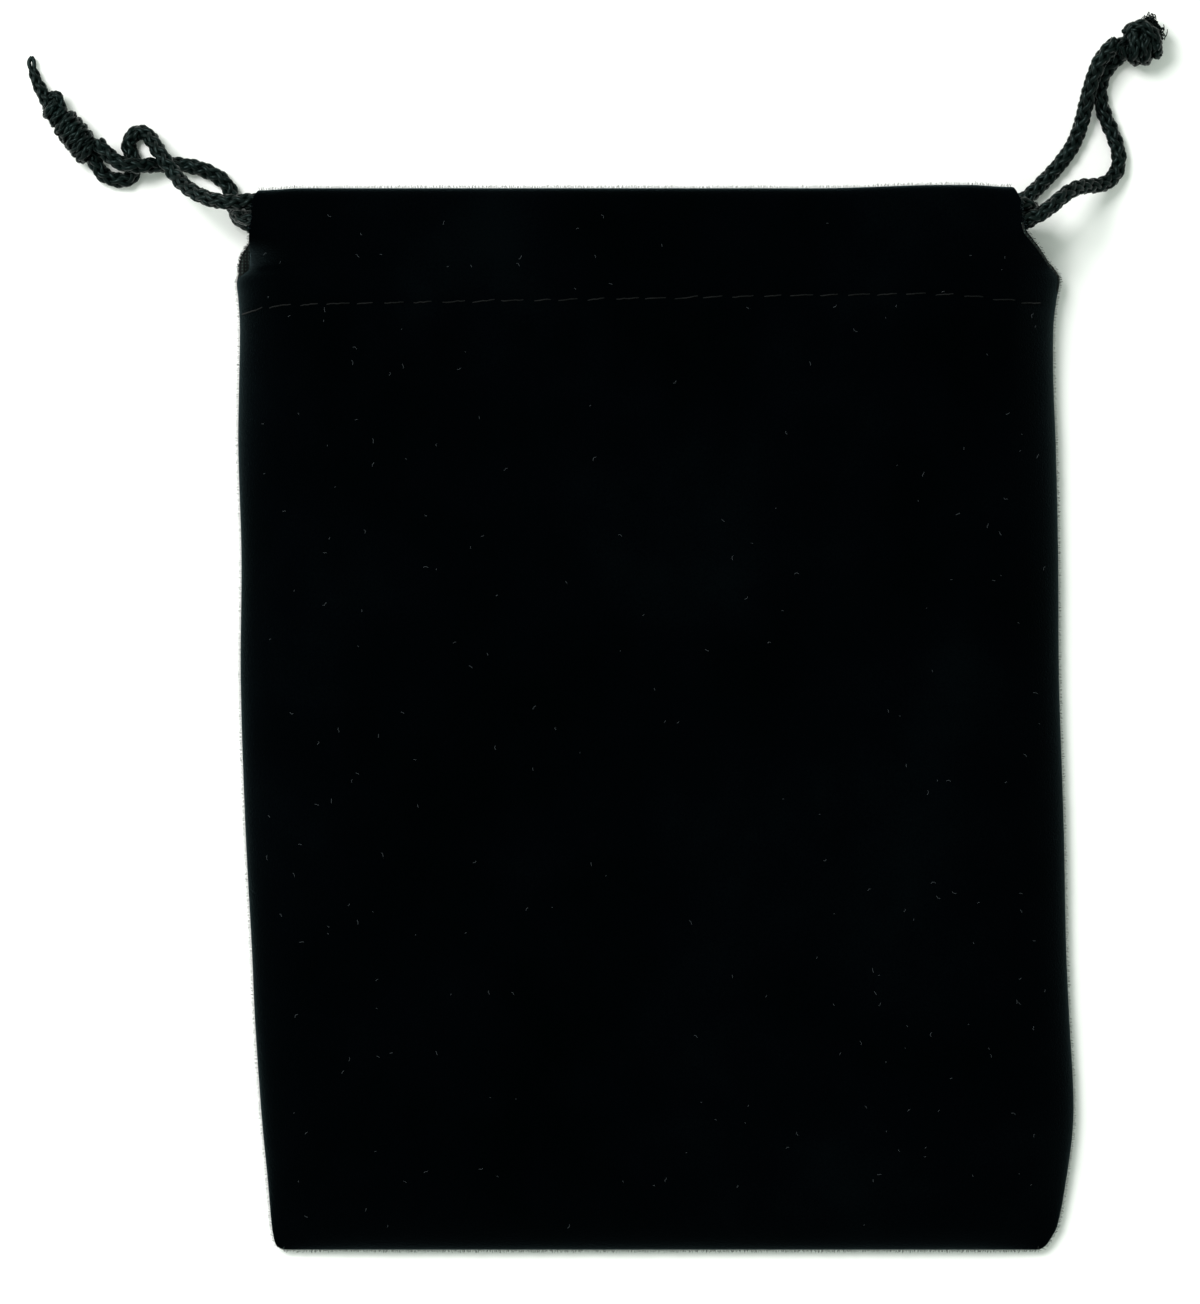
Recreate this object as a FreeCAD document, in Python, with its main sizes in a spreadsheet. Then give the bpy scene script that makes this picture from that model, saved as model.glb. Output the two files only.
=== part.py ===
"""Velvet drawstring dice bag, lying flat on its back with the mouth towards +Y.

Frame: millimetres, +Z up, z = 0 is the surface the bag lies on. X = 0 and Y = 0 are the middle
of the bag itself, cords left out. Two velvet panels are sewn together round three edges. Each
panel's top edge is turned in and stitched down, which makes a flat channel, the casing. Two cords
run round the mouth in the two casings. Each one is a loop: both of its ends leave the bag at one
side and are tied there, and at the other side it simply turns back from one casing to the other.
"""
import math
import os

import FreeCAD
import Part
import Sketcher

Vector = FreeCAD.Vector
doc = FreeCAD.newDocument("dice_bag")

# ---------------------------------------------------------------- driving dimensions
DIMENSIONS = {
    "cloth": 0.7,              # velvet, backing and pile together
    "mouth_gap": 4.3,          # how far the empty bag's mouth stands open
    "channel_gap": 2.2,        # room for a cord inside a casing
    "mouth_y": 66.6,           # top fold of the casings
    "stitch_y": 51.8,          # stitching along the bottom of the casings
    "hem_seam": 1.2,           # stitched-down lip below each channel
    "bottom_y": -66.6,
    "casing_left": -50.3,      # cut ends of the casings
    "casing_right": 45.4,
    "casing_drop": 4.6,        # straight stretch of a casing's cut end
    "notch_rise": 4.0,         # where the side seam stops, above the stitching
    "side_left": -52.2,        # side edges at the stitching
    "side_right": 50.2,
    "hem_cutback": 2.0,        # turned-in hem stops this short of the casing's end
    "cord_dia": 2.0,
    "thread_dia": 0.3,
    "stitch_pitch": 3.6,
    "stitch_length": 2.7,
    "seam_allowance": 1.6,
    "left_knot_dia": 4.0,
    "left_knot_length": 6.4,
    "left_lump_dia": 3.6,
    "right_knot_dia": 5.4,
    "tail_dia": 1.7,
}

sheet = doc.addObject("Spreadsheet::Sheet", "sheet")
for row, (alias, number) in enumerate(DIMENSIONS.items(), start=1):
    sheet.set(f"A{row}", alias)
    sheet.set(f"B{row}", str(number))
    sheet.setAlias(f"B{row}", alias)
doc.recompute()


def dim(alias):
    """Read one driving dimension back from the sheet."""
    return float(getattr(sheet, alias))


def bind(thing, **expressions):
    """Bind properties of a document object to expressions on the sheet."""
    for name, expression in expressions.items():
        thing.setExpression(name.replace("__", "."), expression)
    return thing


def box(name, start, size):
    """A Part::Box from three start and three size expressions."""
    thing = doc.addObject("Part::Box", name)
    bind(thing, Length=size[0], Width=size[1], Height=size[2])
    bind(thing, Placement__Base__x=start[0], Placement__Base__y=start[1], Placement__Base__z=start[2])
    return thing


def cut(name, base, tool):
    thing = doc.addObject("Part::Cut", name)
    thing.Base = base
    thing.Tool = tool
    return thing


# ---------------------------------------------------------------- sketches on the sheet
def outline_pad(name, corners, height):
    """A body padded up from a polygon whose corners are pairs of sheet expressions."""
    body = doc.addObject("PartDesign::Body", name)
    sketch = body.newObject("Sketcher::SketchObject", name + "_outline")
    plane = [f for f in body.Origin.OriginFeatures if f.Role == "XY_Plane"][0]
    sketch.AttachmentSupport = [(plane, "")]
    sketch.MapMode = "FlatFace"
    count = len(corners)
    probe = [Vector(sheet_value(x), sheet_value(y), 0) for x, y in corners]
    for i in range(count):
        sketch.addGeometry(Part.LineSegment(probe[i], probe[(i + 1) % count]), False)
    for i in range(count):
        sketch.addConstraint(Sketcher.Constraint("Coincident", i, 2, (i + 1) % count, 1))
    for i, (x, y) in enumerate(corners):
        for kind, value, expression in (("DistanceX", probe[i].x, x), ("DistanceY", probe[i].y, y)):
            k = sketch.addConstraint(Sketcher.Constraint(kind, -1, 1, i, 1, value))
            sketch.setExpression(f"Constraints[{k}]", expression)
    pad = body.newObject("PartDesign::Pad", name + "_pad")
    pad.Profile = sketch
    pad.setExpression("Length", height)
    return body


def sheet_value(expression):
    """Value of a sum of sheet cells and numbers, such as 'sheet.mouth_y - 2'."""
    total = 0.0
    sign = 1.0
    for word in expression.replace("-", " - ").replace("+", " + ").split():
        if word in "+-":
            sign = -sign if word == "-" else sign
            continue
        number = dim(word[6:]) if word.startswith("sheet.") else float(word)
        total += sign * number
        sign = 1.0
    return total


# ---------------------------------------------------------------- heights of the layers
CASING = "sheet.cloth + sheet.channel_gap + sheet.cloth"
casing_height = 2 * dim("cloth") + dim("channel_gap")
front_base = casing_height + dim("mouth_gap")
top_z = front_base + casing_height
IN_BACK = dim("cloth") + dim("channel_gap") / 2      # middle of a cord in the back casing
IN_FRONT = front_base + IN_BACK                      # and in the front casing

# side edges of the bag from the mouth end to the bottom: distance from the middle, left and right
SIDES = [
    (51.8, -52.2, 50.2), (40.0, -52.0, 49.8), (20.0, -51.9, 50.3), (-8.0, -51.5, 50.8),
    (-30.0, -50.6, 51.6), (-49.0, -49.3, 52.2), (-58.0, -48.5, 51.3), (-64.4, -47.9, 50.2),
]
BOTTOM_LEFT = -46.4
BOTTOM_RIGHT = 48.5

# ---------------------------------------------------------------- panels
left_edge = [(str(x), str(y)) for y, x, _ in SIDES]
right_edge = [(str(x), str(y)) for y, _, x in reversed(SIDES)]
left_edge[0] = ("sheet.side_left", "sheet.stitch_y")
right_edge[-1] = ("sheet.side_right", "sheet.stitch_y")
bottom = [(str(BOTTOM_LEFT), "sheet.bottom_y"), (str(BOTTOM_RIGHT), "sheet.bottom_y")]
back_panel = outline_pad("back_panel", left_edge + bottom + right_edge, "sheet.cloth")
back_panel.Label = "back_panel"


# how high the front panel's outside stands over the surface, from mouth to bottom
CROWN = [(51.8, top_z), (40.0, 10.0), (20.0, 9.2), (-8.0, 8.7), (-30.0, 8.2), (-49.0, 6.8),
         (-58.0, 4.6), (-64.4, 1.4)]
# the front panel's profile from a side edge to the middle: share of width, share of rise
ROUND_OFF = [(0.0, 0.0), (0.02, 0.36), (0.06, 0.72), (0.12, 0.93), (0.20, 1.0)]


def arched_band(y, left, right, top):
    """Closed outline of the front panel cut across at y: a thin arch standing on two flat lips."""
    cloth = dim("cloth")
    lip = dim("seam_allowance")
    flat = 2 * cloth
    width = right - left
    rise = top - flat
    outside = [Vector(left, y, cloth), Vector(left, y, flat)]
    inside = []
    for share, lift in ROUND_OFF:
        outside.append(Vector(left + lip + share * width, y, flat + lift * rise))
        inside.append(Vector(left + lip + cloth * lift + share * width, y, cloth + lift * rise))
    for share, lift in reversed(ROUND_OFF):
        outside.append(Vector(right - lip - share * width, y, flat + lift * rise))
        inside.append(Vector(right - lip - cloth * lift - share * width, y, cloth + lift * rise))
    outside += [Vector(right, y, flat), Vector(right, y, cloth)]
    points = outside + inside[::-1]
    return Part.makePolygon(points + points[:1])


stations = [arched_band(y, left, right, top)
            for (y, left, right), (_, top) in zip(SIDES, CROWN)]
shell = Part.makeLoft(stations, True, True)
foot_y, foot_left, foot_right = SIDES[-1]
foot_points = [Vector(x, y, dim("cloth")) for x, y in (
    (foot_left, foot_y), (foot_right, foot_y),
    (BOTTOM_RIGHT, dim("bottom_y")), (BOTTOM_LEFT, dim("bottom_y")))]
foot_outline = Part.makePolygon(foot_points + foot_points[:1])
foot = Part.Face(foot_outline).extrude(Vector(0, 0, dim("cloth")))
front_panel = doc.addObject("Part::Feature", "front_panel")
front_panel.Shape = shell.fuse(foot).removeSplitter()


# ---------------------------------------------------------------- casings
def casing(name, base_z, hem_low):
    """Turned-in top of a panel: outer cloth, top fold, hem and the channel between them."""
    blank = outline_pad(name + "_blank", [
        ("sheet.casing_left", "sheet.mouth_y"),
        ("sheet.casing_left", "sheet.mouth_y - sheet.casing_drop"),
        ("sheet.side_left", "sheet.stitch_y + sheet.notch_rise"),
        ("sheet.side_left", "sheet.stitch_y"),
        ("sheet.side_right", "sheet.stitch_y"),
        ("sheet.side_right", "sheet.stitch_y + sheet.notch_rise"),
        ("sheet.casing_right", "sheet.mouth_y - sheet.casing_drop"),
        ("sheet.casing_right", "sheet.mouth_y"),
    ], CASING)
    blank.Placement.Base.z = base_z
    reach = "sheet.side_right - sheet.side_left + 4"
    channel = box(name + "_channel",
                  ("sheet.side_left - 2", "sheet.stitch_y + sheet.hem_seam", f"{base_z} + sheet.cloth"),
                  (reach, "sheet.mouth_y - sheet.stitch_y - sheet.hem_seam - sheet.cloth",
                   "sheet.channel_gap"))
    hollow = cut(name + "_hollow", blank, channel)
    hem_z = str(base_z) if hem_low else f"{base_z} + sheet.cloth + sheet.channel_gap"
    tall = "sheet.cloth"
    deep = "sheet.mouth_y - sheet.stitch_y - sheet.hem_seam + 1"
    left = box(name + "_left_end", ("sheet.side_left - 2", "sheet.stitch_y + sheet.hem_seam", hem_z),
               ("sheet.casing_left - sheet.side_left + 2 + sheet.hem_cutback", deep, tall))
    right = box(name + "_right_end",
                ("sheet.casing_right - sheet.hem_cutback", "sheet.stitch_y + sheet.hem_seam", hem_z),
                ("sheet.side_right - sheet.casing_right + sheet.hem_cutback + 2", deep, tall))
    open_left = cut(name + "_open_left", hollow, left)
    whole = cut(name + "_whole", open_left, right)
    whole.Label = name
    return whole


back_casing = casing("back_casing", 0.0, False)
front_casing = casing("front_casing", front_base, True)


# ---------------------------------------------------------------- thread
def stitching(label, start, end):
    """A row of stitches from start to end, each a short length of thread lying in the seam."""
    run = Vector(*end) - Vector(*start)
    along = Vector(run).normalize()
    count = int(run.Length / dim("stitch_pitch"))
    spare = (run.Length - (count - 1) * dim("stitch_pitch") - dim("stitch_length")) / 2
    stitches = []
    for i in range(count):
        stitch = doc.addObject("Part::Cylinder", f"{label}_{i + 1}")
        bind(stitch, Radius="sheet.thread_dia / 2", Height="sheet.stitch_length")
        at = Vector(*start) + along * (spare + i * dim("stitch_pitch"))
        stitch.Placement = FreeCAD.Placement(at, FreeCAD.Rotation(Vector(0, 0, 1), along))
        stitches.append(stitch)
    row = doc.addObject("Part::Compound", label)
    row.Links = stitches
    row.Label = label
    return row


half_thread = dim("thread_dia") / 2
stitch_y = dim("stitch_y")
lap = dim("cloth")
inset = dim("seam_allowance") / 2
seam_top = stitch_y - 1.0
back_stitching = stitching("back_casing_stitching", (-50.0, stitch_y, half_thread),
                           (48.4, stitch_y, half_thread))
front_stitching = stitching("front_casing_stitching", (-50.0, stitch_y, top_z - half_thread),
                            (48.4, stitch_y, top_z - half_thread))
left_seam = stitching("left_side_seam", (dim("side_left") + inset, seam_top, lap),
                      (foot_left + inset, foot_y, lap))
right_seam = stitching("right_side_seam", (dim("side_right") - inset, seam_top, lap),
                       (foot_right - inset, foot_y, lap))
bottom_line = dim("bottom_y") + inset
bottom_seam = stitching("bottom_seam", (BOTTOM_LEFT + inset, bottom_line, lap),
                        (BOTTOM_RIGHT - inset, bottom_line, lap))

# ---------------------------------------------------------------- cords
# Each route runs from the knot along the surface and up into the front casing, across the bag,
# round into the back casing, and out again to the knot.
LEFT_CORD = [
    (-70.6, 70.4, 1.9), (-70.0, 69.1, 1.3), (-69.2, 68.0, 1.05), (-67.7, 67.4, 1.05),
    (-66.0, 67.4, 1.05), (-65.2, 68.8, 1.05), (-65.5, 70.3, 1.05), (-66.2, 71.7, 1.05),
    (-65.8, 72.9, 1.05), (-64.7, 73.6, 1.1), (-63.5, 73.1, 1.5), (-61.9, 70.5, 3.8),
    (-60.4, 68.3, 4.2), (-58.8, 66.4, 6.0), (-56.6, 64.9, 8.4), (-53.6, 64.05, 9.6),
    (-49.8, 64.4, IN_FRONT), (-44.0, 64.3, IN_FRONT), (-33.0, 64.4, IN_FRONT),
    (-12.0, 64.25, IN_FRONT), (12.0, 64.4, IN_FRONT), (31.0, 64.3, IN_FRONT),
    (47.4, 64.4, IN_FRONT), (47.4, 61.4, IN_BACK), (31.0, 61.35, IN_BACK), (12.0, 61.45, IN_BACK),
    (-12.0, 61.3, IN_BACK), (-33.0, 61.4, IN_BACK), (-43.5, 61.3, IN_BACK), (-48.9, 61.4, IN_BACK),
    (-51.6, 61.9, 1.5), (-53.0, 63.7, 1.1), (-53.0, 65.7, 1.05), (-54.1, 67.4, 1.05),
    (-56.3, 68.7, 1.05), (-59.0, 69.4, 1.05), (-61.4, 69.4, 1.05), (-63.3, 69.2, 2.5),
    (-65.1, 69.0, 3.6), (-67.1, 69.4, 3.8), (-68.6, 70.5, 3.5), (-69.9, 72.0, 3.3),
]
RIGHT_CORD = [
    (58.7, 83.3, 1.4), (57.1, 82.0, 1.05), (56.0, 80.1, 1.05), (55.8, 77.9, 1.05),
    (56.4, 75.6, 1.05), (57.6, 73.0, 1.05), (58.4, 70.4, 1.05), (57.9, 68.0, 1.25),
    (56.0, 66.6, 2.6), (53.7, 66.5, 5.0), (51.6, 65.7, 7.9), (49.6, 63.9, 9.5),
    (47.0, 62.0, IN_FRONT), (42.5, 61.75, IN_FRONT), (35.0, 61.8, IN_FRONT), (20.0, 61.7, IN_FRONT),
    (-6.0, 61.8, IN_FRONT), (-36.0, 61.7, IN_FRONT), (-52.2, 61.8, IN_FRONT),
    (-52.2, 64.4, IN_BACK), (-36.0, 64.3, IN_BACK), (-6.0, 64.4, IN_BACK), (18.0, 64.3, IN_BACK),
    (33.0, 64.4, IN_BACK), (41.0, 64.35, IN_BACK), (45.9, 64.5, IN_BACK), (48.3, 66.7, 1.2),
    (50.5, 69.0, 1.05), (52.4, 71.5, 1.05), (53.5, 74.3, 1.3), (54.1, 77.3, 2.6), (54.9, 80.4, 3.5),
    (56.0, 83.0, 3.75), (57.8, 84.6, 3.7),
]
ARC_SHARE = 0.45               # how much of the shorter run an arc may use


def cord_path(label, route):
    """Straight runs joined by tangent arcs, each as large as its two runs allow."""
    points = [Vector(*p) for p in route]
    edges = []
    last = points[0]
    radii = []
    for before, corner, after in zip(points, points[1:], points[2:]):
        back = before - corner
        ahead = after - corner
        reach = ARC_SHARE * min(back.Length, ahead.Length)
        back.normalize()
        ahead.normalize()
        turn = math.pi - back.getAngle(ahead)
        radius = reach / math.tan(turn / 2)
        start = corner + back * reach
        end = corner + ahead * reach
        bisector = (back + ahead).normalize()
        middle = corner + bisector * (math.hypot(radius, reach) - radius)
        edges.append(Part.LineSegment(last, start).toShape())
        edges.append(Part.Arc(start, middle, end).toShape())
        radii.append(radius)
        last = end
    edges.append(Part.LineSegment(last, points[-1]).toShape())
    print(label, "radii", [round(r, 1) for r in radii])
    return Part.Wire(edges)


def cord(label, route):
    path = cord_path(label, route)
    radius = dim("cord_dia") / 2
    heading = Vector(*route[1]) - Vector(*route[0])
    ring = Part.Wire([Part.makeCircle(radius, Vector(*route[0]), heading)])
    thing = doc.addObject("Part::Feature", label)
    thing.Shape = path.makePipeShell([ring], True, False)
    expected = math.pi * radius ** 2 * path.Length
    print(label, "length", round(path.Length, 1), "volume / expected",
          round(thing.Shape.Volume / expected, 4))
    return thing


left_cord = cord("left_cord", LEFT_CORD)
right_cord = cord("right_cord", RIGHT_CORD)


# ---------------------------------------------------------------- knots, tail and tuft
def lump(name, centre, axis, length, diameter):
    """A stretched ball: one bulge of a knot."""
    ball = doc.addObject("Part::Ellipsoid", name)
    bind(ball, Radius1=f"({length}) / 2", Radius2=f"({diameter}) / 2", Radius3=f"({diameter}) / 2")
    ball.Placement = FreeCAD.Placement(Vector(*centre), FreeCAD.Rotation(Vector(0, 0, 1), Vector(*axis)))
    return ball


def fuse(label, pieces):
    whole = doc.addObject("Part::MultiFuse", label)
    whole.Shapes = pieces
    whole.Label = label
    return whole


KNOT_AXIS = (-3.6, 4.6, 0.0)
left_knot = fuse("left_knot", [
    lump("left_knot_barrel", (-72.4, 72.6, 2.3), KNOT_AXIS, "sheet.left_knot_length", "sheet.left_knot_dia"),
    lump("left_knot_end", (-75.2, 75.9, 2.0), KNOT_AXIS, "sheet.left_knot_dia", "sheet.left_lump_dia"),
])
right_knot = fuse("right_knot", [
    lump("right_knot_body", (60.3, 84.4, 2.9), (0.9, -1.0, 0.0), "sheet.right_knot_dia + 0.8",
         "sheet.right_knot_dia"),
    lump("right_knot_end", (62.0, 82.7, 2.4), (1.0, 0.3, 0.0), "sheet.right_knot_dia - 1.4",
         "sheet.right_knot_dia - 1.6"),
])

TAIL = [(-76.0, 77.0, 1.7), (-76.9, 79.0, 1.2), (-77.8, 81.2, 1.0), (-78.1, 82.9, 0.95)]
tail_path = cord_path("left_tail", TAIL)
tail_ring = Part.Wire([Part.makeCircle(dim("tail_dia") / 2, Vector(*TAIL[0]),
                                       Vector(*TAIL[1]) - Vector(*TAIL[0]))])
left_tail = doc.addObject("Part::Feature", "left_tail")
left_tail.Shape = tail_path.makePipeShell([tail_ring], True, False)

right_tuft = lump("right_tuft", (62.6, 87.0, 2.6), (1.0, 0.9, 0.0), "4.4", "3.2")
right_tuft.Label = "right_tuft"

# ---------------------------------------------------------------- check and write
doc.recompute()
for thing in doc.Objects:
    if "Invalid" in thing.State or "Error" in thing.State:
        raise SystemExit(f"{thing.Name} failed: {thing.State}")

NODES = [back_panel, front_panel, back_casing, front_casing, back_stitching, front_stitching,
         left_seam, right_seam, bottom_seam, left_cord, left_knot, left_tail,
         right_cord, right_knot, right_tuft]
for node in NODES:
    if node.Shape.isNull() or not node.Shape.isValid():
        raise SystemExit(f"{node.Label} has no valid shape")

os.makedirs("parts", exist_ok=True)
for node in NODES:
    node.Shape.exportStep(f"parts/{node.Label}.step")
    size = node.Shape.BoundBox
    print(f"{node.Label:24s} solids {len(node.Shape.Solids):3d}  volume {node.Shape.Volume:9.1f}"
          f"  z {size.ZMin:.2f} to {size.ZMax:.2f}")
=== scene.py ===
# %% [markdown]
# # A velvet drawstring dice bag
#
# The bag lies on its back with its mouth towards +Y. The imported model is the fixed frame: it
# gives the real size of every piece, in metres, and it owns all motion. This script only makes
# the looks: braided cords first, then the knots, the velvet, the thread and the loose fibres.

# %% Load the frame
import math
import random

import bmesh
import bpy
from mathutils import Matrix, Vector, noise


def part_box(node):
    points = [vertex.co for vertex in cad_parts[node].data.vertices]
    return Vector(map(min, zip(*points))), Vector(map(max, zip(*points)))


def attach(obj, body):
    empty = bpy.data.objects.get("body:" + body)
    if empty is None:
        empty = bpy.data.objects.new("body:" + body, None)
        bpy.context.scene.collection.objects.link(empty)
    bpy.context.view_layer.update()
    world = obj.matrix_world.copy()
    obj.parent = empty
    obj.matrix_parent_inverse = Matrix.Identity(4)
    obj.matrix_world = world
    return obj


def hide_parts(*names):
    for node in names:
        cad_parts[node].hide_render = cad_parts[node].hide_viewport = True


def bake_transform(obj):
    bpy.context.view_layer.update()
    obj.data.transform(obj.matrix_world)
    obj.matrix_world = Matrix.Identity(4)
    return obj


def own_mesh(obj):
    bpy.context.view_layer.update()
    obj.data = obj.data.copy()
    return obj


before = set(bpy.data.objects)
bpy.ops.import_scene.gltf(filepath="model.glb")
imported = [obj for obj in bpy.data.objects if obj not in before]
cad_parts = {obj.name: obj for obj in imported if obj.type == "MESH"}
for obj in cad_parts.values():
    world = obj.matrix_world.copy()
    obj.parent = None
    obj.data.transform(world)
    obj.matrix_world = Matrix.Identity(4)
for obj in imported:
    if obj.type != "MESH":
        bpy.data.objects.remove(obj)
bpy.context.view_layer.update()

MM = 0.001


def corners(node):
    """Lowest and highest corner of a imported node, as vectors in metres."""
    low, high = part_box(node)
    return Vector(low), Vector(high)


CASING_LOW, CASING_HIGH = corners("front_casing")
BACK_TOP = corners("back_casing")[1].z
PANEL_LOW, PANEL_HIGH = corners("back_panel")

# %% [markdown]
# ## Camera
# The bag is looked at straight from above, from far enough away that its edges don't lean. A
# long lens a little under a metre away does that for a thing the size of a hand.

# %% Camera
VIEW_CENTRE = Vector((-6.9, 8.2, 0.0)) * MM
VIEW_HEIGHT = 163.0 * MM
LENS = 200.0
SENSOR = 36.0

lens_data = bpy.data.cameras.new("camera")
lens_data.lens = LENS
lens_data.sensor_width = SENSOR
camera = bpy.data.objects.new("camera", lens_data)
camera.location = VIEW_CENTRE + Vector((0, 0, VIEW_HEIGHT * LENS / SENSOR + 5.0 * MM))
bpy.context.collection.objects.link(camera)
bpy.context.scene.camera = camera
bpy.context.scene.view_settings.view_transform = "Standard"
print("camera", [round(v, 3) for v in camera.location])

# %% [markdown]
# ## Two helpers for nodes and colours
# Colours are written as sRGB hex, and the shader wants linear light, so one function turns
# them. One more adds a node with its settings and its links.


# %% Material helpers
def hex_colour(text):
    """Linear RGBA from an sRGB hex string."""
    channels = [int(text[i:i + 2], 16) / 255 for i in (1, 3, 5)]
    linear = [c / 12.92 if c <= 0.04045 else ((c + 0.055) / 1.055) ** 2.4 for c in channels]
    return (*linear, 1.0)


def add(tree, kind, settings=None, **sockets):
    """Add a node, set its properties, and set or link its inputs by name."""
    node = tree.nodes.new(kind)
    for name, value in (settings or {}).items():
        setattr(node, name, value)
    for name, value in sockets.items():
        socket = node.inputs[int(name[1:])] if name[0] == "_" else node.inputs[name.replace("_", " ")]
        if isinstance(value, bpy.types.NodeSocket):
            tree.links.new(value, socket)
        else:
            socket.default_value = value
    return node


def new_material(name):
    """An empty node material with its output, ready for a shader."""
    material = bpy.data.materials.new(name)
    material.use_nodes = True
    material.node_tree.nodes.clear()
    return material, material.node_tree


def ramp(tree, factor, stops):
    """A colour ramp from (position, hex) stops."""
    node = add(tree, "ShaderNodeValToRGB", Fac=factor)
    elements = node.color_ramp.elements
    while len(elements) < len(stops):
        elements.new(0.5)
    for element, (position, colour) in zip(elements, stops):
        element.position = position
        element.color = hex_colour(colour)
    return node


def per_metre(size):
    """A texture's scale for a feature of this size in metres."""
    return 1.0 / size


# %% [markdown]
# ## Cord material
# The drawstring is a round braid of black nylon. Drawn nylon filaments are smooth, so a bundle
# of them throws a cool grey sheen where it bends to the light. An occlusion node finds the
# furrows and takes the gloss out of them, which paints shade into the furrows. Single filaments
# are far too fine to draw, so the grain is drawn at a third of a millimetre.


# %% Cord material
def nylon_braid():
    material, tree = new_material("nylon_braid")
    place = add(tree, "ShaderNodeTexCoord").outputs["Object"]
    filaments = add(tree, "ShaderNodeTexNoise", Vector=place, Scale=per_metre(0.33 * MM),
                    Detail=3.0, Roughness=0.6).outputs["Fac"]
    patches = add(tree, "ShaderNodeTexNoise", Vector=place, Scale=per_metre(2.2 * MM),
                  Detail=2.0).outputs["Fac"]
    both = add(tree, "ShaderNodeMath", {"operation": "MULTIPLY"}, _0=filaments, _1=patches)
    colour = ramp(tree, both.outputs[0], [(0.12, "#000101"), (0.28, "#020605"), (0.48, "#0a1615")])
    bump = add(tree, "ShaderNodeBump", Height=filaments, Strength=0.35, Distance=0.08 * MM)
    # Painted shade: an occlusion mask takes the gloss out of the braid's furrows, so they read darker than
    # the lamps alone make them.
    open_to_light = add(tree, "ShaderNodeAmbientOcclusion", {"samples": 6}, Distance=0.7 * MM).outputs["AO"]
    gloss_with_painted_furrow_shade = add(tree, "ShaderNodeMapRange", Value=open_to_light, From_Min=0.58, From_Max=1.0,
                To_Min=0.0, To_Max=0.13)
    shader = add(tree, "ShaderNodeBsdfPrincipled", Base_Color=colour.outputs["Color"],
                 Normal=bump.outputs["Normal"], Roughness=0.36, IOR=1.53,
                 Specular_IOR_Level=gloss_with_painted_furrow_shade.outputs["Result"])
    shader.inputs["Specular Tint"].default_value = hex_colour("#d6fffa")
    shader.inputs["Sheen Weight"].default_value = 0.01
    shader.inputs["Sheen Roughness"].default_value = 0.4
    shader.inputs["Sheen Tint"].default_value = hex_colour("#a4bab8")
    add(tree, "ShaderNodeOutputMaterial", Surface=shader.outputs["BSDF"])
    return material


CORD_MATERIAL = nylon_braid()
print("material", CORD_MATERIAL.name)

# %% [markdown]
# ## Cord routes
# Each cord is one length that runs round the mouth: out of its knot, over the surface, up into
# the front casing, across the bag, round into the back casing and out again to the knot. A cord
# is flexible, so its line is one smooth spline through a few control points. The points are the
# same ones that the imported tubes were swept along.

# %% Cord routes
CORD_DIAMETER = 2.0 * MM
IN_FRONT = 0.0097         # height of a cord inside the front casing
IN_BACK = 0.0018          # and inside the back casing

LEFT_ROUTE = [
    (-0.0706, 0.0704, 0.0019), (-0.07, 0.0691, 0.0013), (-0.0692, 0.068, 0.00105),
    (-0.0677, 0.0674, 0.00105), (-0.066, 0.0674, 0.00105), (-0.0652, 0.0688, 0.00105),
    (-0.0655, 0.0703, 0.00105), (-0.0662, 0.0717, 0.00105), (-0.0658, 0.0729, 0.00105),
    (-0.0647, 0.0736, 0.0011), (-0.0635, 0.0731, 0.0015), (-0.0619, 0.0705, 0.0038),
    (-0.0604, 0.0683, 0.0042), (-0.0588, 0.0664, 0.006), (-0.0566, 0.0649, 0.0084),
    (-0.0536, 0.06405, 0.0096), (-0.0498, 0.0644, IN_FRONT), (-0.044, 0.0643, IN_FRONT),
    (-0.033, 0.0644, IN_FRONT), (-0.012, 0.06425, IN_FRONT), (0.012, 0.0644, IN_FRONT),
    (0.031, 0.0643, IN_FRONT), (0.0474, 0.0644, IN_FRONT), (0.0474, 0.0614, IN_BACK),
    (0.031, 0.06135, IN_BACK), (0.012, 0.06145, IN_BACK), (-0.012, 0.0613, IN_BACK),
    (-0.033, 0.0614, IN_BACK), (-0.0435, 0.0613, IN_BACK), (-0.0489, 0.0614, IN_BACK),
    (-0.0516, 0.0619, 0.0015), (-0.053, 0.0637, 0.0011), (-0.053, 0.0657, 0.00105),
    (-0.0541, 0.0674, 0.00105), (-0.0563, 0.0687, 0.00105), (-0.059, 0.0694, 0.00105),
    (-0.0614, 0.0694, 0.00105), (-0.0633, 0.0692, 0.0025), (-0.0651, 0.069, 0.0036),
    (-0.0671, 0.0694, 0.0038), (-0.0686, 0.0705, 0.0035), (-0.0699, 0.072, 0.0033),
]
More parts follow.
